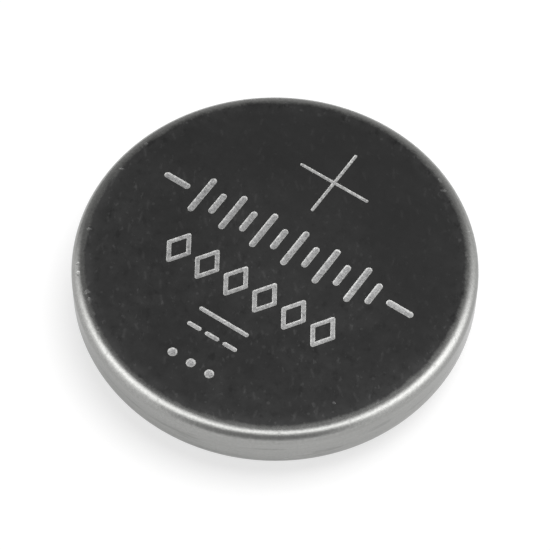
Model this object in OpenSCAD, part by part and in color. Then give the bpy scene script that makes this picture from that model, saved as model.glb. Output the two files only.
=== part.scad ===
// Lithium coin cell, 16 mm across and 3.2 mm high, lying on its negative terminal.
//
// A deep-drawn steel can is the positive pole. Its rim is crimped over a plastic gasket,
// which grips the stamped negative cap. Between the two metal shells lie, from the cap up:
// a lithium disc, a separator cup, a pressed manganese dioxide pellet and a collector mesh.
//
// The origin is the centre of the negative terminal's face, and +Z points to the positive face.
// Every round piece is a section turned about Z. A sheet-metal section is a path of straight
// runs and bends, walked along the outside surface and given its thickness towards the inside.

/* [Cell] */
// Diameter of the can's wall
cell_d = 16; // [12:0.1:24]
// Height from the negative terminal to the positive face
cell_h = 3.2; // [3.0:0.05:5]

/* [Positive can] */
// Thickness of the can's steel sheet
can_sheet = 0.25; // [0.18:0.01:0.3]
// Outside radius between the positive face and the wall
can_corner_r = 0.55; // [0.4:0.05:0.7]
// Outside radius of the bend that turns the rim inwards
crimp_r = 1.2; // [1:0.05:1.3]
// Angle from the wall by which the rim is turned inwards
crimp_angle = 50; // [45:1:56]
// Length of the straight lip beyond the bend
crimp_lip = 0.75; // [0.6:0.05:0.85]
// How far the negative terminal stands out past the crimped rim
terminal_proud = 0.3; // [0.2:0.05:0.6]

/* [Negative cap] */
// Thickness of the cap's steel sheet
cap_sheet = 0.25; // [0.18:0.01:0.3]
// Outside radius round the edge of the terminal
terminal_edge_r = 0.4; // [0.3:0.05:0.45]
// Outside radius of the hollow bend between the terminal's side and the ledge
neck_r = 0.12; // [0.08:0.01:0.18]
// Width of the flat ledge under the crimped rim
ledge_run = 0.12; // [0.05:0.01:0.25]
// Outside radius of the shoulder between the ledge and the skirt
shoulder_r = 0.4; // [0.3:0.05:0.5]

/* [Gasket] */
// Thickness of the gasket's wall between the can and the cap's skirt
gasket_wall = 0.55; // [0.45:0.05:0.65]
// Thickness left where the rim squeezes the gasket onto the cap's shoulder
gasket_pinch = 0.21; // [0.15:0.01:0.3]
// Thickness of the gasket's floor, under the end of the cap's skirt
gasket_floor = 0.4; // [0.3:0.05:0.6]
// Thickness of the short wall inside the skirt
gasket_inner_wall = 0.3; // [0.2:0.05:0.35]
// Height of the short wall inside the skirt, measured from the can's floor
gasket_inner_h = 1.2; // [0.8:0.05:1.4]
// How far the gasket shows past the end of the crimped lip
gasket_toe = 0.06; // [0:0.01:0.1]
// Hairline gap left between the gasket and the metal that squeezes it
seal_gap = 0.01; // [0.005:0.005:0.02]

/* [Electrodes] */
// Thickness of the lithium disc
lithium_t = 0.65; // [0.4:0.05:0.8]
// Gap between the lithium disc and the side of the cap's pocket
lithium_gap = 0.25; // [0.1:0.05:0.5]
// Thickness of the separator
separator_t = 0.2; // [0.1:0.05:0.3]
// Height of the separator cup's wall, with its floor
separator_h = 1.3; // [0.6:0.05:1.6]
// Radius of the separator cup's outer corner
separator_corner_r = 0.3; // [0.2:0.05:0.4]
// Gap between the separator cup and the side of the cap's pocket
separator_gap = 0.05; // [0.03:0.01:0.2]
// Gap between the cathode pellet and the separator cup's wall
pellet_gap = 0.05; // [0.03:0.01:0.2]
// Bevel round both edges of the cathode pellet
pellet_bevel = 0.12; // [0.05:0.01:0.2]

/* [Collector mesh] */
// Thickness of the expanded metal
mesh_t = 0.1; // [0.06:0.01:0.15]
// How far the mesh disc's edge lies inside the cathode pellet's edge
mesh_margin = 0.5; // [0.2:0.1:1.5]
// Pitch of the diamonds along X
mesh_pitch_x = 2; // [1.6:0.1:2.4]
// Pitch of the diamonds along Y
mesh_pitch_y = 1.1; // [0.9:0.05:1.3]
// Width of a strand between two diamonds
mesh_strand = 0.24; // [0.18:0.02:0.3]

/* [Hidden] */
// Straight pieces in each bend, and sides of each turned solid
bend_steps = 12;
$fn = 180;

// ---- Paths of sheet metal ------------------------------------------------------------------
// A path is a list of [straight run, turn, bend radius]. It starts on the axis and heads
// outwards with the inside on its left. A positive turn bends towards the inside. The
// radius is that of the outside surface, and depth is measured from it towards the inside.

function ahead(heading) = [cos(heading), sin(heading)];
function left(heading) = [-sin(heading), cos(heading)];
function reversed(points) = [for (i = [len(points) - 1:-1:0]) points[i]];
function last(points) = points[len(points) - 1];
function turned_over(points) = [for (p = points) [p[0], cell_h - p[1]]];

function bend_points(centre, radius, side, heading, turn, depth) =
    [for (k = [0:bend_steps])
        let (h = heading + turn * k / bend_steps)
        centre - (side * radius - depth) * left(h)];

function path_points(path, depth, at = [0, 0], heading = 0, i = 0) =
    i == len(path) ? [] :
    let (
        turn = path[i][1],
        side = sign(turn),
        bend_start = at + path[i][0] * ahead(heading),
        centre = bend_start + side * path[i][2] * left(heading),
        bend_end = centre - side * path[i][2] * left(heading + turn),
        points = turn == 0
            ? [bend_start + depth * left(heading)]
            : bend_points(centre, path[i][2], side, heading, turn, depth)
    )
    concat(points, path_points(path, depth, bend_end, heading + turn, i + 1));

// The closed section between two depths of a path
function path_band(path, near, far) = concat(
    [[0, near]],
    path_points(path, near),
    reversed(path_points(path, far)),
    [[0, far]]
);

// Everything on the inside of a path at one depth, closed level with the path's end
function path_inside(path, depth) =
    let (edge = path_points(path, depth))
    concat([[0, depth]], edge, [[0, last(edge)[1]]]);

// ---- Positive can: face down while it is drawn, then turned over ---------------------------
can_r = cell_d / 2;
can_inner_r = can_r - can_sheet;
can_floor_z = cell_h - can_sheet;
crimp_h = crimp_r * sin(crimp_angle) + crimp_lip * cos(crimp_angle);
wall_run = cell_h - can_corner_r - crimp_h - terminal_proud;

// The can's section as far as its lip, for a lip that is longer by the given length
function can_path(longer = 0) = [
    [can_r - can_corner_r, 90, can_corner_r],
    [wall_run, crimp_angle, crimp_r],
    [crimp_lip + longer, 0, 0],
];

// End of the lip on its inner surface
lip_end = last(turned_over(path_points(can_path(), can_sheet)));

// ---- Negative cap: its shoulder is seated against the crimped lip --------------------------
skirt_r = can_inner_r - gasket_wall;
shoulder_at = skirt_r - shoulder_r;
// Height at which the shoulder's bend keeps gasket_pinch of gasket under the lip
shoulder_z = lip_end[1]
    + (shoulder_r + gasket_pinch + (shoulder_at - lip_end[0]) * cos(crimp_angle)) / sin(crimp_angle);
ledge_z = shoulder_z - shoulder_r;
skirt_end_z = can_floor_z - gasket_floor;
terminal_r = shoulder_at - ledge_run - neck_r;
cap_path = [
    [terminal_r - terminal_edge_r, 90, terminal_edge_r],
    [ledge_z - neck_r - terminal_edge_r, -90, neck_r],
    [ledge_run, 90, shoulder_r],
    [skirt_end_z - shoulder_z, 0, 0],
];
skirt_inner_r = skirt_r - cap_sheet;
pocket_r = terminal_r - cap_sheet;

// ---- Stack between the cap and the can -----------------------------------------------------
lithium_z = cap_sheet;
separator_z = lithium_z + lithium_t;
pellet_z = separator_z + separator_t;
mesh_z = can_floor_z - mesh_t;
pellet_h = mesh_z - pellet_z;
separator_r = pocket_r - separator_gap;
pellet_r = separator_r - separator_t - pellet_gap;
mesh_r = pellet_r - mesh_margin;

module turned(colour, points) {
    color(colour) rotate_extrude() polygon(points);
}

module positive_can() {
    turned("#7c7c7a", turned_over(path_band(can_path(), 0, can_sheet)));
}

module negative_cap() {
    turned("#a4a4a0", path_band(cap_path, 0, cap_sheet));
}

// Moulded as a U that holds the skirt's end, then squeezed to the shape left between can and cap
module sealing_gasket() {
    depth = can_sheet + seal_gap;
    inner_r = skirt_inner_r - seal_gap - gasket_inner_wall;
    inner_wall_z = can_floor_z - gasket_inner_h;
    squeezed_path = can_path(gasket_toe);
    color("#dcdcd6") rotate_extrude() difference() {
        polygon(turned_over(path_inside(squeezed_path, depth)));
        // The cap's sheet
        polygon(path_band(cap_path, -seal_gap, cap_sheet + seal_gap));
        // The space inside the short wall, and the space under it
        translate([0, inner_wall_z]) square([inner_r, cell_h]);
        intersection() {
            polygon(path_inside(cap_path, cap_sheet));
            square([cell_d, inner_wall_z]);
        }
        // The toe's end, cut square to the lip
        translate(last(turned_over(path_points(squeezed_path, depth))))
            rotate(180 - crimp_angle) square(cell_d);
    }
}

module lithium_disc() {
    color("#c9cacc") translate([0, 0, lithium_z])
        cylinder(r = pocket_r - lithium_gap, h = lithium_t);
}

// Non-woven cup whose wall keeps the pellet off the cap's skirt
module separator_cup() {
    separator_path = [
        [separator_r - separator_corner_r, 90, separator_corner_r],
        [separator_h - separator_corner_r, 0, 0],
    ];
    color("#f0efe8") translate([0, 0, separator_z])
        rotate_extrude() polygon(path_band(separator_path, 0, separator_t));
}

module cathode_pellet() {
    b = pellet_bevel;
    color("#2b2a2c") translate([0, 0, pellet_z]) rotate_extrude() polygon([
        [0, 0],
        [pellet_r - b, 0],
        [pellet_r, b],
        [pellet_r, pellet_h - b],
        [pellet_r - b, pellet_h],
        [0, pellet_h],
    ]);
}

// One opening of the expanded metal, less half a strand on each side
module mesh_diamond() {
    half_x = mesh_pitch_x / 2;
    half_y = mesh_pitch_y / 2;
    slope = atan(half_y / half_x);
    x = half_x - mesh_strand / 2 / sin(slope);
    y = half_y - mesh_strand / 2 / cos(slope);
    polygon([[x, 0], [0, y], [-x, 0], [0, -y]]);
}

// Expanded steel, welded to the can's floor. Only whole openings are kept, so the edge is closed.
module collector_mesh() {
    reach = mesh_r - mesh_pitch_x / 2;
    rows = ceil(2 * mesh_r / mesh_pitch_y);
    columns = ceil(mesh_r / mesh_pitch_x);
    color("#9a9b9c") translate([0, 0, mesh_z]) linear_extrude(mesh_t) difference() {
        circle(mesh_r);
        for (row = [-rows:rows], column = [-columns:columns]) {
            at = [
                (column + abs(row % 2) / 2) * mesh_pitch_x,
                row * mesh_pitch_y / 2,
            ];
            if (norm(at) < reach) translate(at) mesh_diamond();
        }
    }
}

positive_can();
collector_mesh();
cathode_pellet();
separator_cup();
lithium_disc();
sealing_gasket();
negative_cap();
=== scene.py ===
import math

import bmesh
import bpy
from bpy.props import FloatProperty, FloatVectorProperty, IntProperty, PointerProperty
from mathutils import Matrix, Vector
from mathutils.geometry import delaunay_2d_cdt


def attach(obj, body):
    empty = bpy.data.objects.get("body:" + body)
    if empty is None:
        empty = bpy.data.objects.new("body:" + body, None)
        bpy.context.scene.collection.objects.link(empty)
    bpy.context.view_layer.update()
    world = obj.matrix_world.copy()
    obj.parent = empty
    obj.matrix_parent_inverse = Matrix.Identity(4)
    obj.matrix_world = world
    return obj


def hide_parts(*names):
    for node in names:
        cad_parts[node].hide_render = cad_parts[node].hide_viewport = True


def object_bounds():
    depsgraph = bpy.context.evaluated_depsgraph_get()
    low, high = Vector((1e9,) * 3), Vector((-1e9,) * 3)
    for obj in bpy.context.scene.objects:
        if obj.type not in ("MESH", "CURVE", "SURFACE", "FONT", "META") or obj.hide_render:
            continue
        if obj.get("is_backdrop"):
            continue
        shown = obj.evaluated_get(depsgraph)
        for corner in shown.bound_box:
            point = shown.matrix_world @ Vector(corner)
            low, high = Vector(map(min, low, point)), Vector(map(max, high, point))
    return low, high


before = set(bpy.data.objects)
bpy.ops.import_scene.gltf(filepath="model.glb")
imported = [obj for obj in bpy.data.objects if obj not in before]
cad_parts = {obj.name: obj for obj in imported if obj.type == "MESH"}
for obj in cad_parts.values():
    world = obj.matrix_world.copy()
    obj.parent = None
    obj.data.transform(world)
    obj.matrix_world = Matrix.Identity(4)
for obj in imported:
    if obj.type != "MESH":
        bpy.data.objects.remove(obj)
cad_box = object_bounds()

bl_info = {
    "name": "Lithium coin cell",
    "version": (1, 0, 0),
    "blender": (4, 5, 0),
    "location": "3D View > Sidebar > Coin cell",
    "description": "Builds the finish of a crimped lithium coin cell round its packed frame",
    "category": "Object",
}

MM = 0.001
WELD = 1e-7
# Bends of an outline under this angle count as straight
STRAIGHT = math.radians(0.5)
# Edges between faces over this angle stay sharp
SHARP = math.radians(40)


# ---- Sizes and colours -----------------------------------------------------------------


def length(name, description, millimetres, lowest=0.0):
    return FloatProperty(
        name=name,
        description=description,
        default=millimetres * MM,
        min=lowest,
        subtype="DISTANCE",
        unit="LENGTH",
        precision=6,
    )


def offset(name, description, millimetres):
    """A length that may be negative."""
    return length(name, description, millimetres, lowest=-1.0)


def colour(name, description, rgb):
    return FloatVectorProperty(
        name=name,
        description=description,
        default=rgb,
        size=3,
        min=0.0,
        max=1.0,
        subtype="COLOR",
    )


def share(name, description, value):
    return FloatProperty(
        name=name, description=description, default=value, min=0.0, max=1.0, subtype="FACTOR"
    )


def angle(name, description, degrees):
    return FloatProperty(
        name=name, description=description, default=math.radians(degrees), subtype="ANGLE"
    )


class CoinCellShells(bpy.types.PropertyGroup):
    """Can, cap and gasket, which are turned from the frame's own sections."""

    segments: IntProperty(
        name="Segments", description="Sides of each turned piece", default=512, min=32
    )
    # The face's dark colour is a painted dark reflection of the steel's surroundings
    painted_dark_face_colour: colour("Face", "Dark satin finish of the positive face", (0.073, 0.073, 0.073))
    rim_colour: colour("Rim", "Bare steel of the can's corner and wall", (0.31, 0.311, 0.303))
    mark_colour: colour("Marks", "Frosted floor of the stamped marks", (0.38, 0.38, 0.38))
    # The lips' lighter colour is a painted highlight along the grooves' edges
    lip_highlight_colour: colour("Mark lips", "Bare metal along the marks' edges", (0.54, 0.54, 0.53))
    cap_colour: colour("Cap", "Steel of the negative cap", (0.55, 0.55, 0.54))
    gasket_colour: colour("Gasket", "Natural polypropylene", (0.72, 0.72, 0.69))
    face_height: length("Face height", "Height of the positive face above the table", 3.2)
    face_roughness: share("Face roughness", "Roughness of the positive face", 0.34)
    rim_roughness: share("Rim roughness", "Roughness of the can's corner and wall", 0.2)


class CoinCellMarks(bpy.types.PropertyGroup):
    """Plain signs that are stamped into the positive face."""

    depth: length("Depth", "Depth of the heaviest strokes", 0.035)
    cross_span: length("Cross span", "Span of the polarity cross", 3.24)
    cross_x: offset("Cross shift", "How far the cross is shifted to the right", -0.067)
    cross_y: offset("Cross place", "Place of the cross above the centre", 4.27)
    cross_stroke: length("Cross stroke", "Width of the cross's strokes", 0.13)
    plate_y: offset("Plate place", "Place of the battery sign above the centre", 0.83)
    plate_pitch: length("Plate pitch", "Pitch of the plates in the battery sign", 0.74)
    plate_long: length("Long plate", "Height of a long plate", 1.84)
    plate_short: length("Short plate", "Height of a short plate", 1.08)
    plate_reach: length("Plate reach", "Distance of the battery sign's ends from its middle", 5.75)
    plate_stroke: length("Plate stroke", "Width of the battery sign's strokes", 0.27)
    lozenge_y: offset("Lozenge place", "Place of the lozenges above the centre", -1.72)
    lozenge_pitch: length("Lozenge pitch", "Pitch of the lozenges", 1.36)
    lozenge_width: length("Lozenge width", "Width of a lozenge along its middle line", 0.92)
    lozenge_height: length("Lozenge height", "Height of a lozenge along its middle line", 1.4)
    lozenge_stroke: length("Lozenge stroke", "Width of the lozenges' strokes", 0.18)
    bar_y: offset("Bar place", "Place of the direct current sign's bar above the centre", -3.5)
    dash_y: offset("Dash place", "Place of the direct current sign's dashes", -4.3)
    bar_length: length("Bar length", "Length of the direct current sign", 2.3)
    bar_stroke: length("Bar stroke", "Width of the direct current sign's strokes", 0.18)
    dot_y: offset("Dot place", "Place of the dots above the centre", -5.72)
    dot_pitch: length("Dot pitch", "Pitch of the dots", 0.86)
    dot: length("Dot", "Diameter of the small dots", 0.38)


class CoinCellStage(bpy.types.PropertyGroup):
    """Camera, floor, tent and lamp."""

    azimuth: angle("Azimuth", "Side from which the camera looks", 34.0)
    elevation: angle("Elevation", "Height of the camera above the horizon", 58.13)
    roll: angle("Roll", "Turn of the camera about its own axis", 0.4)
    distance: length("Distance", "Distance of the camera from the cell's centre", 111.0)
    aim_up: offset("Aim up", "How far the view is shifted above the cell's centre", 0.199)
    lens: FloatProperty(
        name="Lens", description="Focal length of the camera in millimetres", default=183.3
    )
    floor_radius: length("Floor radius", "Radius of the round white floor", 21.0)
    tent_radius: length("Tent radius", "Radius of the tent round the cell", 300.0)
    front_turn: angle("Front turn", "Turn of the tent's dim front to the camera's left", 5.0)
    back_turn: angle("Back turn", "Turn of the tent's dark back to the camera's left", 3.0)
    band_turn: angle("Band turn", "Turn of the tent's light band to the camera's left", 15.0)
    band_height: angle("Band height", "Height of the light band at the camera's sides", 31.0)
    band_climb: angle("Band climb", "How far the light band climbs to its middle", 28.0)
    lamp_size: length("Lamp size", "Diameter of the soft lamp", 140.0)
    lamp_distance: length("Lamp distance", "Distance of the soft lamp from the cell", 180.0)
    lamp_side: angle("Lamp side", "Side on which the lamp stands, from +X", 50.27)
    lamp_height: angle("Lamp height", "Height of the lamp above the horizon", 76.0)
    lamp_power: FloatProperty(
        name="Lamp power", description="Power of the soft lamp in watts", default=0.27
    )


# ---- Nodes -----------------------------------------------------------------------------


def feed(tree, inputs, values):
    """Gives each named input a value or a link."""
    for name, value in values.items():
        if isinstance(value, bpy.types.NodeSocket):
            tree.links.new(value, inputs[name])
        else:
            inputs[name].default_value = value


def put(tree, kind, values=None, **settings):
    """Adds a node, sets it up and feeds its inputs."""
    node = tree.nodes.new(kind)
    for name, value in settings.items():
        setattr(node, name, value)
    feed(tree, node.inputs, values or {})
    return node


def maths(tree, operation, *values):
    return put(tree, "ShaderNodeMath", dict(enumerate(values)), operation=operation).outputs[0]


def spun(tree, vector, turn):
    """A vector turned about Z."""
    values = {"Vector": vector, "Angle": turn}
    return put(tree, "ShaderNodeVectorRotate", values, rotation_type="Z_AXIS").outputs[0]


# ---- Meshes ----------------------------------------------------------------------------


def section(node):
    """Outline of a turned CAD node where the half plane y = 0 cuts it, as (radius, height)."""
    bm = bmesh.new()
    bm.from_mesh(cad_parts[node].data)
    bmesh.ops.remove_doubles(bm, verts=bm.verts, dist=WELD)
    for normal in ((1, 0, 0), (0, 1, 0)):
        geometry = bm.verts[:] + bm.edges[:] + bm.faces[:]
        bmesh.ops.bisect_plane(
            bm, geom=geometry, dist=WELD, plane_co=(0, 0, 0), plane_no=normal, clear_inner=True
        )
    cut = [e for e in bm.edges if all(abs(v.co.y) < 2 * WELD for v in e.verts)]
    cut = [e for e in cut if not all(v.co.x < 2 * WELD for v in e.verts)]
    beside = {}
    for edge in cut:
        a, b = edge.verts
        beside.setdefault(a, []).append(b)
        beside.setdefault(b, []).append(a)
    ends = [v for v in beside if len(beside[v]) == 1]
    walk = [max(ends or beside, key=lambda v: (v.co.z, -v.co.x))]
    closed = not ends
    while True:
        onward = [v for v in beside[walk[-1]] if v not in walk]
        if not onward:
            break
        walk.append(max(onward, key=lambda v: v.co.x) if len(walk) == 1 else onward[0])
    points = [Vector((v.co.x, v.co.z)) for v in walk]
    bm.free()
    return corners(points, closed)


def corners(points, closed):
    """The points where an outline turns. A closed outline repeats its first point at the end."""
    if closed:
        points = points + [points[0]]
    kept = [points[0]]
    for here, after in zip(points[1:], points[2:]):
        came, goes = here - kept[-1], after - here
        if came.length > WELD and came.angle(goes) > STRAIGHT:
            kept.append(here)
    return kept + [points[-1]]


def turned_tree():
    """Geometry nodes that turn an outline of loose points about Z into a welded skin."""
    tree = bpy.data.node_groups.new("turned_about_z", "GeometryNodeTree")
    kinds = {"Outline": "Geometry", "Points": "Int", "Segments": "Int"}
    kinds.update({"Weld distance": "Float", "Finish": "Material"})
    for name, kind in kinds.items():
        tree.interface.new_socket(name, in_out="INPUT", socket_type=f"NodeSocket{kind}")
    tree.interface.new_socket("Skin", in_out="OUTPUT", socket_type="NodeSocketGeometry")
    given = put(tree, "NodeGroupInput").outputs
    index = put(tree, "GeometryNodeInputIndex").outputs[0]
    position = put(tree, "GeometryNodeInputPosition").outputs[0]

    columns = maths(tree, "ADD", given["Segments"], 1)
    size = {"Vertices X": given["Points"], "Vertices Y": columns}
    grid = put(tree, "GeometryNodeMeshGrid", size).outputs["Mesh"]
    point = maths(tree, "DIVIDE", maths(tree, "ADD", index, 0.5), columns)
    point = maths(tree, "FLOOR", point)
    side = maths(tree, "SUBTRACT", index, maths(tree, "MULTIPLY", point, columns))
    turn = maths(tree, "MULTIPLY", side, 2 * math.pi)
    turn = maths(tree, "DIVIDE", turn, given["Segments"])

    sample = put(tree, "GeometryNodeSampleIndex", data_type="FLOAT_VECTOR")
    wanted = {"Geometry": given["Outline"], "Value": position, "Index": point}
    feed(tree, sample.inputs, wanted)
    place = {"Geometry": grid, "Position": spun(tree, sample.outputs[0], turn)}
    skin = put(tree, "GeometryNodeSetPosition", place).outputs[0]
    weld = {"Geometry": skin, "Distance": given["Weld distance"]}
    skin = put(tree, "GeometryNodeMergeByDistance", weld).outputs[0]
    skin = put(tree, "GeometryNodeRealizeInstances", {0: skin}).outputs[0]
    finish = {"Geometry": skin, "Material": given["Finish"]}
    skin = put(tree, "GeometryNodeSetMaterial", finish).outputs[0]
    put(tree, "NodeGroupOutput", {"Skin": skin})
    return tree


def turned(name, outline, segments, material):
    """An object whose mesh is the outline turned about Z."""
    tree = bpy.data.node_groups.get("turned_about_z") or turned_tree()
    points = bpy.data.meshes.new(name)
    points.from_pydata([(p.x, 0.0, p.y) for p in outline], [], [])
    piece = bpy.data.objects.new(name, points)
    bpy.context.scene.collection.objects.link(piece)
    modifier = piece.modifiers.new("turned", "NODES")
    modifier.node_group = tree
    values = {
        "Points": len(outline),
        "Segments": segments,
        "Weld distance": 10 * WELD,
        "Finish": material,
    }
    for item in tree.interface.items_tree:
        if item.name in values:
            modifier[item.identifier] = values[item.name]
    evaluated = piece.evaluated_get(bpy.context.evaluated_depsgraph_get())
    piece.data = bpy.data.meshes.new_from_object(evaluated)
    piece.modifiers.remove(modifier)
    piece.data.name = name
    return piece


def close_up(bm):
    """Merges doubles, points faces outwards and shades smooth between sharp edges."""
    bmesh.ops.remove_doubles(bm, verts=bm.verts, dist=10 * WELD)
    bmesh.ops.dissolve_degenerate(bm, edges=bm.edges, dist=WELD)
    bmesh.ops.recalc_face_normals(bm, faces=bm.faces)
    for face in bm.faces:
        face.smooth = True
    if not all(edge.is_manifold for edge in bm.edges):
        raise RuntimeError("the piece isn't closed")
    for edge in bm.edges:
        a, b = edge.link_faces
        if edge.calc_face_angle() > SHARP or a.material_index != b.material_index:
            edge.smooth = False


# ---- Stamped marks ---------------------------------------------------------------------
# A mark is a list of loops. Each loop is a function from an inset to its points: the
# stroke's own edge is at inset 0, and the loop moves into the stroke as the inset grows.


def arc(centre, radius, start, end, steps=10):
    turns = [start + (end - start) * k / steps for k in range(steps + 1)]
    return [centre + radius * Vector((math.cos(t), math.sin(t))) for t in turns]


def stroke(start, end, width):
    """A straight stroke with round ends."""
    start, end = Vector(start), Vector(end)
    along = math.atan2(end.y - start.y, end.x - start.x)
    quarter = math.pi / 2

    def loop(inset):
        radius = width / 2 - inset
        far = arc(end, radius, along - quarter, along + quarter)
        return far + arc(start, radius, along + quarter, along + 3 * quarter)

    return [loop], width


def dot(centre, diameter):
    def loop(inset):
        return arc(Vector(centre), diameter / 2 - inset, 0, 2 * math.pi, steps=24)[:-1]

    return [loop], diameter


def cross(centre, span, width):
    """Two strokes with round ends that cross in the middle."""
    centre = Vector(centre)
    quarter = math.pi / 2

    def loop(inset):
        half = width / 2 - inset
        points = []
        for k in range(4):
            out = k * quarter
            tip = centre + (span - width) / 2 * Vector((math.cos(out), math.sin(out)))
            points += arc(tip, half, out - quarter, out + quarter)
            inner = out + quarter / 2
            corner = half * math.sqrt(2) * Vector((math.cos(inner), math.sin(inner)))
            points.append(centre + corner)
        return points

    return [loop], width


def lozenge(centre, across, high, width):
    """An open lozenge: its stroke follows the four sides, round outside and sharp inside."""
    centre = Vector(centre)
    tips = [Vector(t) for t in ((across / 2, 0), (0, high / 2), (-across / 2, 0), (0, -high / 2))]
    lean = math.atan2(across, high)

    def outer(inset):
        points = []
        for k, tip in enumerate(tips):
            spread = lean if k % 2 == 0 else math.pi / 2 - lean
            out = k * math.pi / 2
            points += arc(centre + tip, width / 2 - inset, out - spread, out + spread, steps=6)
        return points

    def inner(inset):
        shrink = 1 - (width / 2 - inset) / (across / 2 * math.cos(lean))
        return [centre + tip * shrink for tip in tips]

    return [outer, inner], width


def row(count, pitch):
    """Places of a centred row."""
    return [(k - (count - 1) / 2) * pitch for k in range(count)]


def stamped_marks(marks):
    """The polarity cross and four rows of plain signs below it."""
    found = [cross((marks.cross_x, marks.cross_y), marks.cross_span, marks.cross_stroke)]

    width, level = marks.plate_stroke, marks.plate_y
    plates = row(12, marks.plate_pitch)
    for k, x in enumerate(plates):
        half = ((marks.plate_short if k % 2 else marks.plate_long) - width) / 2
        found.append(stroke((x, level - half), (x, level + half), width))
    near = plates[-1] + marks.plate_pitch
    for side in (-1, 1):
        found.append(stroke((side * near, level), (side * marks.plate_reach, level), width))

    for x in row(6, marks.lozenge_pitch):
        size = marks.lozenge_width, marks.lozenge_height
        found.append(lozenge((x, marks.lozenge_y), *size, marks.lozenge_stroke))

    width = marks.bar_stroke
    half, dash = (marks.bar_length - width) / 2, marks.bar_length / 10
    found.append(stroke((-half, marks.bar_y), (half, marks.bar_y), width))
    for x in row(3, half - dash):
        found.append(stroke((x - dash, marks.dash_y), (x + dash, marks.dash_y), width))

    for x in row(3, marks.dot_pitch):
        found.append(dot((x, marks.dot_y), marks.dot))
    return found


def inside(point, loop):
    """True if the point is inside the closed loop."""
    found = False
    for a, b in zip(loop, loop[1:] + loop[:1]):
        if (a.y > point.y) != (b.y > point.y):
            if point.x < a.x + (point.y - a.y) * (b.x - a.x) / (b.y - a.y):
                found = not found
    return found


def fill(bm, loops, height, material_index=0):
    """Flat faces at one height wherever a point lies inside an odd number of the loops."""
    points, edges = [], []
    for loop in loops:
        first = len(points)
        points += loop
        edges += [(first + k, first + (k + 1) % len(loop)) for k in range(len(loop))]
    # The triangulation is steadier in millimetres
    scale = 1 / MM
    spread, _, triangles, *_ = delaunay_2d_cdt([p * scale for p in points], edges, [], 0, WELD)
    verts = [bm.verts.new((p.x / scale, p.y / scale, height)) for p in spread]
    ranges = [[(min(c), max(c)) for c in zip(*loop)] for loop in loops]
    for triangle in triangles:
        middle = sum((spread[k] for k in triangle), Vector((0, 0))) / 3 / scale
        hits = 0
        for loop, ((left, right), (low, high)) in zip(loops, ranges):
            if left < middle.x < right and low < middle.y < high:
                hits += inside(middle, loop)
        if hits % 2:
            bm.faces.new([verts[k] for k in triangle]).material_index = material_index


def skirt(bm, upper, lower, material_index=0):
    """A closed strip of faces between two rings of vertices."""
    for k in range(len(upper)):
        after = (k + 1) % len(upper)
        face = bm.faces.new((upper[k], upper[after], lower[after], lower[k]))
        face.material_index = material_index


# Share of a stroke's half width that is inset, and share of its depth, down a groove's side
GROOVE = ((0.0, 0.0), (0.12, 0.3), (0.3, 0.66), (0.55, 0.9), (0.8, 1.0))
# Share of the depth that the thinnest of strokes would have
THIN_DEPTH = 0.45
# Width of the plain ring at the face's edge
FACE_MARGIN = 0.06 * MM


def stamped_face(bm, radius, height, segments, marks):
    """The flat positive face with its stamped grooves, out to the given radius."""
    turns = [2 * math.pi * k / segments for k in range(segments)]
    outer, inner = (
        [Vector((r * math.cos(t), r * math.sin(t))) for t in turns]
        for r in (radius, radius - FACE_MARGIN)
    )
    rings = [[bm.verts.new((p.x, p.y, height)) for p in ring] for ring in (outer, inner)]
    skirt(bm, rings[0], rings[1])
    edges, floors = [inner], {}
    for loops, width in stamped_marks(marks):
        heavy = min(1.0, width / marks.plate_stroke)
        depth = marks.depth * (THIN_DEPTH + (1 - THIN_DEPTH) * heavy)
        for loop in loops:
            edges.append(loop(0.0))
            rings = []
            for inset, sunk in GROOVE:
                points = loop(inset * width / 2)
                z = height - sunk * depth
                rings.append([bm.verts.new((p.x, p.y, z)) for p in points])
            for upper, lower in zip(rings, rings[1:]):
                skirt(bm, upper, lower, 1)
            floors.setdefault(round(depth / WELD), []).append(loop(GROOVE[-1][0] * width / 2))
    fill(bm, edges, height)
    for depth, loops in floors.items():
        fill(bm, loops, height - depth * WELD, 1)


# ---- Shader groups ---------------------------------------------------------------------


def vector_maths(tree, operation, *values):
    node = put(tree, "ShaderNodeVectorMath", dict(enumerate(values)), operation=operation)
    return node.outputs["Value" if operation in ("LENGTH", "DOT_PRODUCT") else "Vector"]


def scaled(tree, vector, factor):
    """A vector or a colour times a number."""
    values = {0: vector, "Scale": factor}
    return put(tree, "ShaderNodeVectorMath", values, operation="SCALE").outputs[0]


def ramp(tree, value, low, high, to_low=0.0, to_high=1.0):
    """A smooth step from one value to another."""
    values = {"Value": value, "From Min": low, "From Max": high}
    values.update({"To Min": to_low, "To Max": to_high})
    return put(tree, "ShaderNodeMapRange", values, interpolation_type="SMOOTHSTEP").outputs[0]


def blend(tree, kind, amount, first, second, mode="MIX"):
    """Mixes two numbers (FLOAT), vectors (VECTOR) or colours (RGBA)."""
    node = put(tree, "ShaderNodeMix", data_type=kind, blend_type=mode)
    suffix = {"FLOAT": "Float", "VECTOR": "Vector", "RGBA": "Color"}[kind]
    inputs = {socket.identifier: socket for socket in node.inputs}
    feed(tree, inputs, {"Factor_Float": amount, f"A_{suffix}": first, f"B_{suffix}": second})
    return next(s for s in node.outputs if s.identifier == f"Result_{suffix}")


def shader_group(name, inputs, outputs, make):
    """A node group that is made once. Inputs give their defaults, and outputs their kinds."""
    if name in bpy.data.node_groups:
        return bpy.data.node_groups[name]
    tree = bpy.data.node_groups.new(name, "ShaderNodeTree")
    for title, default in inputs.items():
        kind = "Float" if isinstance(default, float) else "Vector"
        socket = tree.interface.new_socket(title, in_out="INPUT", socket_type=f"NodeSocket{kind}")
        socket.default_value = default
    for title, kind in outputs.items():
        tree.interface.new_socket(title, in_out="OUTPUT", socket_type=f"NodeSocket{kind}")
    made = make(tree, put(tree, "NodeGroupInput").outputs)
    put(tree, "NodeGroupOutput", dict(zip(outputs, made)))
    return tree


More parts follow.
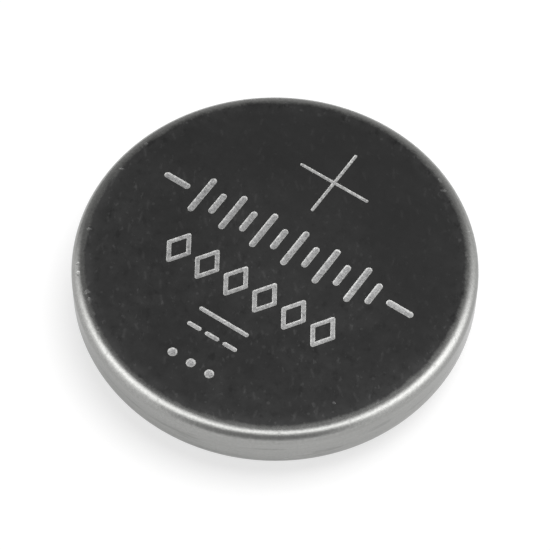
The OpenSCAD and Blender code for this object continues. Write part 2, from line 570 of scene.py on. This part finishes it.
def placed(tree, group, values):
    """Places a group in a material with its own values."""
    return put(tree, "ShaderNodeGroup", values, node_tree=group).outputs


def skin_place():
    """Radius, height and a flat map of a turned skin: seen from above, or unrolled on the wall."""

    def make(tree, given):
        place = put(tree, "ShaderNodeTexCoord").outputs["Object"]
        split = put(tree, "ShaderNodeSeparateXYZ", {0: place}).outputs
        flat = put(tree, "ShaderNodeCombineXYZ", {"X": split[0], "Y": split[1]}).outputs[0]
        radius = vector_maths(tree, "LENGTH", flat)
        turn = maths(tree, "ARCTAN2", split[1], split[0])
        arc_length = maths(tree, "MULTIPLY", turn, given["Wall radius"])
        wall = put(tree, "ShaderNodeCombineXYZ", {"X": arc_length, "Y": split[2]}).outputs[0]
        on_wall = maths(tree, "GREATER_THAN", radius, given["Wall start"])
        return radius, split[2], blend(tree, "VECTOR", on_wall, flat, wall)

    inputs = {"Wall radius": 8 * MM, "Wall start": 7.8 * MM}
    outputs = {"Radius": "Float", "Height": "Float", "Map": "Vector"}
    return shader_group("skin_place", inputs, outputs, make)


def cells(tree, given):
    """Cells strewn over the map: distance to the nearest, the place in it and three draws."""
    moved = scaled(tree, given["Map"], given["Cells per metre"])
    values = {"Vector": moved, "Scale": 1.0}
    cell = put(tree, "ShaderNodeTexVoronoi", values, voronoi_dimensions="2D").outputs
    draws = put(tree, "ShaderNodeSeparateColor", {0: cell["Color"]}).outputs
    return cell["Distance"], vector_maths(tree, "SUBTRACT", moved, cell["Position"]), draws


def hairlines():
    """Short fine scratches, one in some of the cells of a pattern, each at its own angle."""

    def make(tree, given):
        _, local, draws = cells(tree, given)
        turn = maths(tree, "MULTIPLY_ADD", draws[0], given["Spread"], given["Lay"])
        across = put(tree, "ShaderNodeSeparateXYZ", {0: spun(tree, local, turn)}).outputs
        thin = ramp(tree, maths(tree, "ABSOLUTE", across[1]), 0.0, given["Width"], 1.0, 0.0)
        reach = maths(tree, "MULTIPLY", given["Length"], draws[1])
        along = maths(tree, "DIVIDE", maths(tree, "ABSOLUTE", across[0]), reach)
        short = ramp(tree, along, 0.5, 1.0, 1.0, 0.0)
        chosen = maths(tree, "LESS_THAN", draws[2], given["Share"])
        return (maths(tree, "MULTIPLY", maths(tree, "MULTIPLY", thin, short), chosen),)

    inputs = {"Map": (0, 0, 0), "Cells per metre": 700.0, "Width": 0.02, "Length": 0.5}
    inputs.update({"Share": 0.4, "Lay": 0.0, "Spread": math.pi})
    return shader_group("hairlines", inputs, {"Mask": "Float"}, make)


def specks():
    """Tiny round specks of mixed sizes."""

    def make(tree, given):
        distance, _, draws = cells(tree, given)
        size = maths(tree, "MULTIPLY", given["Size"], maths(tree, "POWER", draws[0], 2.0))
        near = maths(tree, "DIVIDE", distance, size)
        chosen = maths(tree, "LESS_THAN", draws[2], given["Share"])
        return (maths(tree, "MULTIPLY", ramp(tree, near, 0.4, 1.0, 1.0, 0.0), chosen),)

    inputs = {"Map": (0, 0, 0), "Cells per metre": 2000.0, "Size": 0.2, "Share": 0.2}
    return shader_group("specks", inputs, {"Mask": "Float"}, make)


def nick():
    """One soft-edged dent of a given length and width."""

    def make(tree, given):
        local = vector_maths(tree, "SUBTRACT", given["Map"], given["Place"])
        level = spun(tree, local, given["Turn"])
        shrunk = vector_maths(tree, "DIVIDE", level, given["Half size"])
        return (ramp(tree, vector_maths(tree, "LENGTH", shrunk), 0.5, 1.0, 1.0, 0.0),)

    inputs = {"Map": (0, 0, 0), "Place": (0, 0, 0), "Turn": 0.0}
    inputs["Half size"] = (0.1 * MM, 0.05 * MM, MM)
    return shader_group("nick", inputs, {"Mask": "Float"}, make)


def cloudiness():
    """Uneven tone, round zero, that may be turned by a lay and drawn out along it."""

    def make(tree, given):
        laid = spun(tree, given["Map"], given["Lay"])
        drawn = vector_maths(tree, "MULTIPLY_ADD", laid, given["Draw"], given["Shift"])
        values = {"Vector": drawn, "Scale": given["Per metre"], "Roughness": 0.6}
        values["Detail"] = given["Detail"]
        noise = put(tree, "ShaderNodeTexNoise", values)
        value = maths(tree, "SUBTRACT", noise.outputs[0], 0.5)
        return (maths(tree, "MULTIPLY", value, given["Amount"]),)

    inputs = {"Map": (0, 0, 0), "Lay": 0.0, "Draw": (1, 1, 1), "Shift": (0, 0, 0)}
    inputs.update({"Per metre": 300.0, "Detail": 3.0, "Amount": 1.0})
    return shader_group("cloudiness", inputs, {"Tone": "Float"}, make)


# ---- Materials -------------------------------------------------------------------------


def new_material(name):
    material = bpy.data.materials.new(name)
    material.use_nodes = True
    return material, material.node_tree, material.node_tree.nodes["Principled BSDF"]


def bare_material(name):
    """A material without any shader of its own yet."""
    material, tree, _ = new_material(name)
    tree.nodes.clear()
    return material, tree


def rgba(rgb):
    return (*rgb, 1.0)


def toned(tree, rgb, tone):
    """A colour made lighter or darker by a tone round zero."""
    return scaled(tree, rgb, maths(tree, "MAXIMUM", maths(tree, "ADD", tone, 1.0), 0.0))


def cloud(tree, spot, per_metre, detail=3.0, **values):
    """Tone of the cloudy pattern."""
    values = {"Map": spot, "Per metre": per_metre, "Detail": detail, **values}
    return placed(tree, cloudiness(), values)["Tone"]


def weighed(tree, first, *layers):
    """The first tone with the others added, each as (tone, weight)."""
    for tone, weight in layers:
        first = maths(tree, "MULTIPLY_ADD", tone, weight, first)
    return first


def relief(tree, height, strength, distance):
    values = {"Height": height, "Strength": strength, "Distance": distance}
    return put(tree, "ShaderNodeBump", values).outputs[0]


# Nicks in the can's edge: place (x, y), length and width in millimetres, and turn in degrees
NICKS = (
    (3.36, 6.77, 0.2, 0.12, 154),
    (3.73, 6.42, 0.26, 0.09, 34),
    (-6.82, -3.02, 0.16, 0.12, 20),
    (-6.27, -4.52, 0.12, 0.08, -54),
    (-5.98, -4.88, 0.2, 0.09, -51),
    (-5.17, -5.42, 0.28, 0.12, 80),
    (-4.9, -5.62, 0.14, 0.12, -41),
    (-7.36, 1.57, 0.14, 0.09, 30),
    (5.62, 5.42, 0.24, 0.07, 134),
    (5.5, -4.09, 0.1, 0.08, 53),
    (-7.44, 0.02, 0.26, 0.07, 20),
)

# Between which radii, and between which heights, the face's painted dark reflection gives way to
# bare steel
RIM_RADII, RIM_HEIGHTS = (7.4 * MM, 7.62 * MM), (3.0 * MM, 2.9 * MM)
# Lay of the polishing marks on the face
LAY = math.radians(56)


def edge_nicks_and_glints(tree, spot):
    """Mask of the nicks, which are dented and lightened as a painted glint, each with a slightly
    wavy outline.
    """
    mask = 0.0
    for x, y, long, wide, turn in NICKS:
        values = {"Map": spot, "Place": (x * MM, y * MM, 0), "Turn": -math.radians(turn)}
        values["Half size"] = (0.6 * long * MM, 0.7 * wide * MM, MM)
        mask = maths(tree, "MAXIMUM", placed(tree, nick(), values)["Mask"], mask)
    return mask


def face_tone(tree, spot, place, edge, wide, strokes):
    """Tone of the face, whose dark colour is a painted dark reflection: pale rubs, dull spots,
    dust, and wear towards the near edge.
    """
    y = put(tree, "ShaderNodeSeparateXYZ", {0: spot}).outputs[1]
    dust = {"Map": spot, "Cells per metre": 2600.0, "Size": 0.28, "Share": 0.16}
    dust = placed(tree, specks(), dust)["Mask"]
    mottled = cloud(tree, spot, 1700.0, Shift=(5.0, 2.0, 0.0))
    pale = cloud(tree, spot, 4200.0, Lay=LAY, Draw=(0.6, 1.0, 1.0))
    pale = ramp(tree, pale, 0.09, 0.22)
    dull = cloud(tree, spot, 2800.0, Lay=LAY, Shift=(3.0, 7.0, 0.0), Draw=(0.75, 1.0, 1.0))
    dull = ramp(tree, dull, 0.02, 0.22)
    layers = (strokes, 0.2), (dust, 0.6), (mottled, 0.9), (dull, -0.28), (pale, 0.7)
    tone = weighed(tree, 0.12, *layers)

    # Stronger towards the front: more wear there, and a lighter face, which is a painted
    # reflection gradient
    graded = ramp(tree, y, 5.5 * MM, -3.5 * MM, 0.25, 1.0)
    graded = maths(tree, "MULTIPLY", graded, ramp(tree, wide, -0.12, 0.1, 0.45, 1.0))
    near_edge = ramp(tree, place["Radius"], 6.7 * MM, 7.4 * MM, 0.0, 1.2)
    tone = maths(tree, "MULTIPLY", tone, maths(tree, "MAXIMUM", graded, near_edge))

    haze = ramp(tree, place["Radius"], 4.5 * MM, 1.0 * MM, 0.0, 0.12)
    worn = ramp(tree, edge, 6.9 * MM, 7.42 * MM, 0.0, 0.3)
    worn = maths(tree, "ADD", worn, ramp(tree, place["Radius"], 5 * MM, 7 * MM, 0.0, 0.08))
    front = ramp(tree, y, 3 * MM, -3 * MM)
    return weighed(tree, tone, (haze, 1.0), (wide, 0.4), (worn, front))


def rim_tone(tree, spot, place, fine, drawn, strokes):
    """Tone of the bare steel: drawing marks, fine grain, and dark smudges round the wall."""
    high = place["Height"]
    grain = maths(tree, "MULTIPLY", fine, ramp(tree, high, 2.65 * MM, 2.95 * MM, 0.25, 0.55))
    smudge = cloud(tree, spot, 3600.0, Draw=(0.11, 1.0, 1.0), Shift=(1.0, 0.0, 0.0))
    smudge = ramp(tree, smudge, 0.05, 0.13)
    middle = ramp(tree, high, 1.2 * MM, 1.6 * MM)
    middle = maths(tree, "MULTIPLY", middle, ramp(tree, high, 2.6 * MM, 2.3 * MM))
    smudge = maths(tree, "MULTIPLY", smudge, middle)
    return weighed(tree, grain, (drawn, 0.22), (smudge, -0.16), (strokes, -0.1))


def can_finish(shells):
    """Face with a painted dark reflection in its colour, and brighter steel from the corner
    downwards.
    """
    material, tree, steel = new_material("can_steel_finish")
    place = placed(tree, skin_place(), {})
    spot, high = place["Map"], place["Height"]
    fine = cloud(tree, spot, 9000.0, 2.0)
    wide = cloud(tree, spot, 380.0, 4.0)
    coarse = cloud(tree, spot, 1500.0)
    drawn = cloud(tree, spot, 2600.0, Draw=(0.12, 1.0, 1.0))

    ragged = weighed(tree, coarse, (fine, 0.6))
    edge = weighed(tree, place["Radius"], (ragged, 0.24 * MM))
    rim = ramp(tree, edge, *RIM_RADII)
    rim = maths(tree, "MAXIMUM", rim, ramp(tree, high, *RIM_HEIGHTS))

    lines = {"Map": spot, "Cells per metre": 1500.0, "Width": 0.14, "Length": 0.5, "Share": 0.45}
    strokes = placed(tree, hairlines(), {**lines, "Lay": LAY - 0.4, "Spread": 0.8})["Mask"]
    strokes = maths(tree, "MULTIPLY", strokes, ramp(tree, high, 2.8 * MM, 3.1 * MM))
    sway = put(tree, "ShaderNodeCombineXYZ", {"X": maths(tree, "MULTIPLY", fine, 0.3 * MM)})
    nicks_and_glints = edge_nicks_and_glints(tree, vector_maths(tree, "ADD", spot, sway.outputs[0]))

    face = face_tone(tree, spot, place, edge, wide, strokes)
    bare = rim_tone(tree, spot, place, fine, drawn, strokes)
    # The nicks are lightened in the colour, a painted glint, and dented by the bump below
    face, bare = weighed(tree, face, (nicks_and_glints, 1.5)), weighed(tree, bare, (nicks_and_glints, 0.25))
    # The face's dark colour is a painted dark reflection; the rim keeps the steel's own colour
    base = blend(tree, "RGBA", rim, rgba(shells.painted_dark_face_colour), rgba(shells.rim_colour))
    base = toned(tree, base, blend(tree, "FLOAT", rim, face, bare))

    rough = blend(tree, "FLOAT", rim, shells.face_roughness, shells.rim_roughness)
    rough = weighed(tree, rough, (drawn, 0.12), (strokes, 0.1))
    ripple = weighed(tree, cloud(tree, spot, 1800.0, 2.0), (fine, 0.5))
    ripple = maths(tree, "MULTIPLY", ripple, rim)
    depth = weighed(tree, ripple, (strokes, -0.2), (nicks_and_glints, -1.5))
    normal = relief(tree, depth, 0.5, 0.012 * MM)
    feed(tree, steel.inputs, {"Metallic": 1.0, "Specular Tint": (0.8, 0.8, 0.8, 1.0)})
    feed(tree, steel.inputs, {"Base Color": base, "Roughness": rough, "Normal": normal})
    return material


def mark_finish(shells):
    """Pale frosted metal in the grooves, lighter along their lips as a painted highlight."""
    material, tree, metal = new_material("stamped_frost")
    place = placed(tree, skin_place(), {})
    spot = place["Map"]
    coarse = cloud(tree, spot, 3800.0)
    sparkle = {"Map": spot, "Cells per metre": 9000.0, "Size": 0.9, "Share": 0.5}
    sparkle = placed(tree, specks(), sparkle)["Mask"]
    tone = maths(tree, "MULTIPLY", cloud(tree, spot, 9000.0), 1.9)
    tone = weighed(tree, tone, (coarse, 0.9), (sparkle, -0.15))

    top = shells.face_height
    ragged = weighed(tree, place["Height"], (coarse, 0.02 * MM))
    # Lips: the top of each groove's side, lighter as a painted highlight
    lip = ramp(tree, ragged, top - 0.034 * MM, top - 0.008 * MM)
    base = blend(tree, "RGBA", lip, rgba(shells.mark_colour), rgba(shells.lip_highlight_colour))
    side = put(tree, "ShaderNodeSeparateXYZ", {0: spot}).outputs[0]
    # The marks are lighter towards +X and darker towards -X
    graded = ramp(tree, side, -6 * MM, 6 * MM, -0.12, 0.12)
    base = toned(tree, base, weighed(tree, graded, (tone, 0.8)))
    normal = relief(tree, tone, 0.6, 0.012 * MM)
    feed(tree, metal.inputs, {"Metallic": 0.65, "Roughness": 0.6})
    feed(tree, metal.inputs, {"Base Color": base, "Normal": normal})
    return material


def cap_finish(shells):
    """Satin steel of the cap, with the light rubs of handling."""
    material, tree, steel = new_material("cap_steel_finish")
    spot = placed(tree, skin_place(), {"Wall start": 6.75 * MM, "Wall radius": 7 * MM})["Map"]
    fine = cloud(tree, spot, 9000.0, 2.0)
    wide = cloud(tree, spot, 420.0, 4.0)
    lines = {"Map": spot, "Cells per metre": 1300.0, "Width": 0.045, "Share": 0.5}
    lines = placed(tree, hairlines(), lines)["Mask"]
    tone = weighed(tree, fine, (wide, 0.3), (lines, 0.35))
    base = toned(tree, shells.cap_colour, maths(tree, "MULTIPLY", tone, 0.35))
    rough = weighed(tree, 0.3, (wide, 0.15))
    normal = relief(tree, tone, 0.15, 0.01 * MM)
    feed(tree, steel.inputs, {"Metallic": 1.0, "Base Color": base})
    feed(tree, steel.inputs, {"Roughness": rough, "Normal": normal})
    return material


def gasket_finish(shells):
    """Milky polypropylene."""
    material, tree, plastic = new_material("gasket_plastic")
    spot = placed(tree, skin_place(), {"Wall start": 7 * MM, "Wall radius": 7 * MM})["Map"]
    tone = maths(tree, "MULTIPLY", cloud(tree, spot, 900.0), 0.2)
    base = toned(tree, shells.gasket_colour, tone)
    normal = relief(tree, cloud(tree, spot, 12000.0, 2.0), 0.2, 0.01 * MM)
    feed(tree, plastic.inputs, {"Subsurface Weight": 0.15, "Subsurface Scale": 0.3 * MM})
    feed(tree, plastic.inputs, {"Roughness": 0.45, "Base Color": base, "Normal": normal})
    return material


def inner_finish(name, rgb, roughness, metallic, per_metre, amount, draw=(1, 1, 1)):
    """Finish of a piece that is sealed inside the cell."""
    material, tree, shader = new_material(name)
    spot = put(tree, "ShaderNodeTexCoord").outputs["Object"]
    wide = cloud(tree, spot, per_metre, 4.0, Draw=draw, Amount=amount)
    tone = maths(tree, "ADD", wide, cloud(tree, spot, 8 * per_metre, Amount=amount))
    base, rough = toned(tree, rgb, tone), weighed(tree, roughness, (wide, 0.2))
    normal = relief(tree, tone, 0.4, 0.02 * MM)
    feed(tree, shader.inputs, {"Metallic": metallic, "Base Color": base})
    feed(tree, shader.inputs, {"Roughness": rough, "Normal": normal})
    return material


# Tone and glow of the floor: as the camera sees it, and as it shows in the steel
FLOOR_TONE, FLOOR_GLOW = 0.4, 0.68
MIRRORED_TONE, MIRRORED_GLOW = 0.6, 0.52


def floor_finish():
    """White table: its shadows show, and its own tone meets the white round it."""
    material, tree = bare_material("white_table")
    path = put(tree, "ShaderNodeLightPath").outputs
    mirrored = maths(tree, "MAXIMUM", path["Is Glossy Ray"], path["Is Transmission Ray"])
    tone = blend(tree, "RGBA", mirrored, rgba([FLOOR_TONE] * 3), rgba([MIRRORED_TONE] * 3))
    paper = put(tree, "ShaderNodeBsdfDiffuse", {"Color": tone})
    seen = maths(tree, "MULTIPLY", path["Is Camera Ray"], FLOOR_GLOW)
    seen = weighed(tree, seen, (mirrored, MIRRORED_GLOW))
    glow = put(tree, "ShaderNodeEmission", {"Strength": seen})
    both = put(tree, "ShaderNodeAddShader", {0: paper.outputs[0], 1: glow.outputs[0]})
    put(tree, "ShaderNodeOutputMaterial", {"Surface": both.outputs[0]})
    return material


# Light of the tent's cloth by height above the horizon, in degrees: (height, strength).
# The band's heights are measured from the band's own middle.
TENT = {
    "band": (
        (-25, 0), (-18, 0.3), (-11, 1.1), (-4, 2.2), (4, 2.35), (11, 1.45), (18, 0.45), (25, 0),
    ),
    "front": (
        (-90, 0.95), (-10, 0.95), (-3, 0.75), (5, 0.46), (15, 0.4), (30, 0.42), (50, 0.4),
        (65, 0.3), (90, 0.3),
    ),
    "side": (
        (-90, 1.15), (-10, 1.15), (5, 1.2), (20, 1.15), (35, 0.9), (45, 0.65), (55, 0.45),
        (90, 0.5),
    ),
    "back": (
        (-90, 0.75), (-5, 0.59), (5, 0.55), (15, 0.5), (30, 0.35), (48, 0.31), (61, 0.42),
        (90, 0.5),
    ),
}
TENT_TOP = 3.0
# Between which cosines of the angle from its middle each part of the tent fades in
FRONT_FADE, BACK_FADE, BAND_FADE = (0.62, 0.97), (0.47, 0.77), (-0.6, 0.1)
# How much darker the back is towards the camera's left
LEFT_SHADE = 0.33
# How far the band sinks behind the camera's sides, as a share of its climb
BAND_SINK = -0.3
# Heights from the band's middle are multiplied by these before its profile is read: over the
# camera, where the band is narrowest, and beside it
OVER, BESIDE = 0.9, 0.57


def tent_finish(stage):
    """Cloth of the tent, lit by a soft band that arches over the camera's side."""
    material, tree = bare_material("tent_cloth")
    place = put(tree, "ShaderNodeTexCoord").outputs["Object"]
    way = vector_maths(tree, "NORMALIZE", place)
    height = put(tree, "ShaderNodeSeparateXYZ", {0: way}).outputs[2]
    height = maths(tree, "DIVIDE", maths(tree, "ARCSINE", height), math.pi)
    height = maths(tree, "ADD", height, 0.5)
    level = vector_maths(tree, "NORMALIZE", vector_maths(tree, "MULTIPLY", way, (1, 1, 0)))

    def facing(turn):
        """Cosine of the level angle from a direction, given as the camera's azimuth is."""
        return vector_maths(tree, "DOT_PRODUCT", level, (math.sin(turn), -math.cos(turn), 0))

    def profile(name, at):
        node = put(tree, "ShaderNodeValToRGB", {0: at})
        band = node.color_ramp
        band.elements.remove(band.elements[1])
        for k, (degrees, strength) in enumerate(TENT[name]):
            stop = band.elements.new(degrees / 180 + 0.5) if k else band.elements[0]
            stop.position = degrees / 180 + 0.5
            stop.color = rgba([strength / TENT_TOP] * 3)
        return node.outputs[0]

    def fading(cloth, way_in, fade, other):
        return blend(tree, "RGBA", ramp(tree, way_in, *fade), cloth, other)

    front = facing(stage.azimuth - stage.front_turn)
    cloth = fading(profile("side", height), front, FRONT_FADE, profile("front", height))
    leftward = facing(stage.azimuth - math.pi / 2)
    shade = weighed(tree, 1.0, (leftward, -LEFT_SHADE))
    back = facing(stage.azimuth - math.pi + stage.back_turn)
    cloth = fading(cloth, back, BACK_FADE, scaled(tree, profile("back", height), shade))

    to_band = maths(tree, "MAXIMUM", facing(stage.azimuth - stage.band_turn), BAND_SINK)
    climb = weighed(tree, stage.band_height / math.pi, (to_band, stage.band_climb / math.pi))
    from_middle = maths(tree, "SUBTRACT", maths(tree, "SUBTRACT", height, climb), 0.5)
    over = facing(stage.azimuth)
    narrow = ramp(tree, over, 0.3, 1.0, BESIDE, OVER)
    light = profile("band", maths(tree, "MULTIPLY_ADD", from_middle, narrow, 0.5))
    light = fading((0, 0, 0, 1), over, BAND_FADE, light)
    total = blend(tree, "RGBA", 1.0, cloth, light, "ADD")
    glow = put(tree, "ShaderNodeEmission", {"Color": total, "Strength": TENT_TOP})
    put(tree, "ShaderNodeOutputMaterial", {"Surface": glow.outputs[0]})
    return material


# ---- Stage -----------------------------------------------------------------------------

# Gap between the floor and the part, so that the two never flicker
FLOOR_GAP = 0.004 * MM
ROOM_LIGHT = 0.25


def raised(level, height):
    """A level direction lifted by an angle above the horizon."""
    return level * math.cos(height) + Vector((0, 0, math.sin(height)))


def hung(name, data, place, turn):
    """A camera or a lamp at its place, turned by a matrix."""
    thing = bpy.data.objects.new(name, data)
    thing.matrix_world = Matrix.Translation(place) @ turn.to_4x4()
    bpy.context.scene.collection.objects.link(thing)
    return thing


def set_camera(stage):
    """The camera looks at the middle of the cell from the given side and height."""
    low, high = cad_box
    middle = Vector((0, 0, (low.z + high.z) / 2))
    back = raised(Vector((math.sin(stage.azimuth), -math.cos(stage.azimuth), 0)), stage.elevation)
    right = Vector((math.cos(stage.azimuth), math.sin(stage.azimuth), 0))
    up = back.cross(right)
    place = middle + back * stage.distance + up * stage.aim_up
    tilted = right * math.cos(stage.roll) + up * math.sin(stage.roll)
    lens = bpy.data.cameras.new("camera")
    lens.lens = stage.lens
    lens.clip_start = 0.001
    turn = Matrix((tilted, back.cross(tilted), back)).transposed()
    return hung("camera", lens, place, turn)


def hang_lamp(stage):
    """A soft round lamp that faces the cell and doesn't show in the steel."""
    lamp = bpy.data.lights.new("soft_lamp", "AREA")
    lamp.shape = "DISK"
    lamp.size = stage.lamp_size
    lamp.energy = stage.lamp_power
    level = Vector((math.cos(stage.lamp_side), math.sin(stage.lamp_side), 0))
    away = raised(level, stage.lamp_height)
    turn = away.to_track_quat("Z", "Y").to_matrix()
    hung("soft_lamp", lamp, away * stage.lamp_distance, turn).visible_glossy = False


def stand(bm, name, material, height):
    """A stage object at the given height."""
    mesh = bpy.data.meshes.new(name)
    bm.to_mesh(mesh)
    bm.free()
    mesh.materials.append(material)
    thing = bpy.data.objects.new(name, mesh)
    thing.location.z = height
    bpy.context.scene.collection.objects.link(thing)
    thing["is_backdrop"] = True
    return thing


def white_room():
    """A world with an even light that is plain white where it is seen itself."""
    world = bpy.data.worlds.new("white_room")
    world.use_nodes = True
    tree = world.node_tree
    path = put(tree, "ShaderNodeLightPath").outputs
    seen = maths(tree, "MAXIMUM", path["Is Camera Ray"], path["Is Glossy Ray"])
    seen = maths(tree, "MAXIMUM", seen, path["Is Transmission Ray"])
    strength = blend(tree, "FLOAT", seen, ROOM_LIGHT, 1.0)
    room = tree.nodes["Background"]
    feed(tree, room.inputs, {"Color": (1, 1, 1, 1), "Strength": strength})
    return world


# ---- Operators -------------------------------------------------------------------------


def finish_piece(piece, materials, node, add=None):
    """Gives a turned piece its last faces, its materials and its place in the frame."""
    mesh = piece.data
    bm = bmesh.new()
    bm.from_mesh(mesh)
    for face in bm.faces:
        face.material_index = 0
    if add:
        add(bm)
    close_up(bm)
    mesh.materials.clear()
    for material in materials:
        mesh.materials.append(material)
    bm.to_mesh(mesh)
    bm.free()
    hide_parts(node)
    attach(piece, "root")


class CoinCellCan(bpy.types.Operator):
    """Turns the can's skin, stamps its face and hides the plain can"""

    bl_idname = "coin_cell.can"
    bl_label = "Can with stamped face"

    def execute(self, context):
        shells, marks = context.scene.coin_cell_shells, context.scene.coin_cell_marks
        steel = can_finish(shells)
        outline = section("positive_can")[1:]
        piece = turned("can_shell", outline, shells.segments, steel)
        rim = outline[0]
        finish_piece(
            piece,
            (steel, mark_finish(shells)),
            "positive_can",
            lambda bm: stamped_face(bm, rim.x, rim.y, shells.segments, marks),
        )
        return {"FINISHED"}


class CoinCellCap(bpy.types.Operator):
    """Turns the negative cap's skin and hides the plain cap"""

    bl_idname = "coin_cell.cap"
    bl_label = "Negative cap"

    def execute(self, context):
        shells = context.scene.coin_cell_shells
        steel = cap_finish(shells)
        piece = turned("cap_shell", section("negative_cap"), shells.segments, steel)
        finish_piece(piece, (steel,), "negative_cap")
        return {"FINISHED"}


class CoinCellGasket(bpy.types.Operator):
    """Turns the sealing gasket's skin and hides the plain gasket"""

    bl_idname = "coin_cell.gasket"
    bl_label = "Sealing gasket"

    def execute(self, context):
        shells = context.scene.coin_cell_shells
        plastic = gasket_finish(shells)
        piece = turned("gasket_ring", section("sealing_gasket"), shells.segments, plastic)
        finish_piece(piece, (plastic,), "sealing_gasket")
        return {"FINISHED"}


# Name, colour, roughness, metal, pattern per metre, its amount and how it's drawn out
INNER = {
    "collector_mesh": ("mesh_steel_finish", (0.5, 0.5, 0.49), 0.35, 1, 900, 0.3),
    "cathode_pellet": ("pellet_black", (0.035, 0.035, 0.037), 0.85, 0, 2500, 1.0),
    "separator_cup": ("separator_fleece", (0.78, 0.77, 0.73), 0.9, 0, 2200, 0.35, (1, 0.3, 1)),
    "lithium_disc": ("lithium_silver", (0.62, 0.61, 0.6), 0.5, 1, 700, 0.35),
}


class CoinCellInside(bpy.types.Operator):
    """Gives the pieces that are sealed in the cell their finishes"""

    bl_idname = "coin_cell.inside"
    bl_label = "Finishes of the inner pieces"

    def execute(self, context):
        for node, finish in INNER.items():
            material = inner_finish(*finish)
            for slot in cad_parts[node].material_slots:
                slot.material = material
        return {"FINISHED"}


class CoinCellSetStage(bpy.types.Operator):
    """Sets up the camera, the white floor, the tent and the soft lamp"""

    bl_idname = "coin_cell.stage"
    bl_label = "Stage"

    def execute(self, context):
        scene, stage = context.scene, context.scene.coin_cell_stage
        scene.view_settings.view_transform = "Standard"
        scene.camera = set_camera(stage)
        bm = bmesh.new()
        bmesh.ops.create_circle(bm, cap_ends=True, radius=stage.floor_radius, segments=96)
        stand(bm, "floor", floor_finish(), cad_box[0].z - FLOOR_GAP)
        bm = bmesh.new()
        bmesh.ops.create_uvsphere(bm, u_segments=48, v_segments=24, radius=stage.tent_radius)
        bmesh.ops.reverse_faces(bm, faces=bm.faces)
        tent = stand(bm, "tent", tent_finish(stage), 0.0)
        tent.visible_camera = False
        tent.visible_diffuse = False
        tent.visible_shadow = False
        hang_lamp(stage)
        scene.world = white_room()
        return {"FINISHED"}


class CoinCellPanel(bpy.types.Panel):
    """Lists the pieces of the coin cell and their sizes"""

    bl_label = "Coin cell"
    bl_idname = "VIEW3D_PT_coin_cell"
    bl_space_type = "VIEW_3D"
    bl_region_type = "UI"
    bl_category = "Coin cell"

    def draw(self, context):
        for group in GROUPS:
            box = self.layout.box()
            box.label(text=group.bl_rna.name)
            settings = getattr(context.scene, GROUPS[group])
            for name in group.__annotations__:
                box.prop(settings, name)
        for operator in OPERATORS:
            self.layout.operator(operator.bl_idname)


GROUPS = {
    CoinCellShells: "coin_cell_shells",
    CoinCellMarks: "coin_cell_marks",
    CoinCellStage: "coin_cell_stage",
}
OPERATORS = (CoinCellSetStage, CoinCellCan, CoinCellCap, CoinCellGasket, CoinCellInside)


def register():
    for cls in (*GROUPS, *OPERATORS, CoinCellPanel):
        bpy.utils.register_class(cls)
    for group, name in GROUPS.items():
        setattr(bpy.types.Scene, name, PointerProperty(type=group))


def unregister():
    for name in GROUPS.values():
        delattr(bpy.types.Scene, name)
    for cls in (CoinCellPanel, *reversed(OPERATORS), *reversed(list(GROUPS))):
        bpy.utils.unregister_class(cls)


def main():
    register()
    bpy.ops.coin_cell.stage()
    bpy.ops.coin_cell.can()
    bpy.ops.coin_cell.cap()
    bpy.ops.coin_cell.gasket()
    bpy.ops.coin_cell.inside()
    boxes = {"cad": cad_box, "visual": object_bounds()}
    plain = {name: [[float(c) for c in corner] for corner in box] for name, box in boxes.items()}


if __name__ == "__main__":
    main()
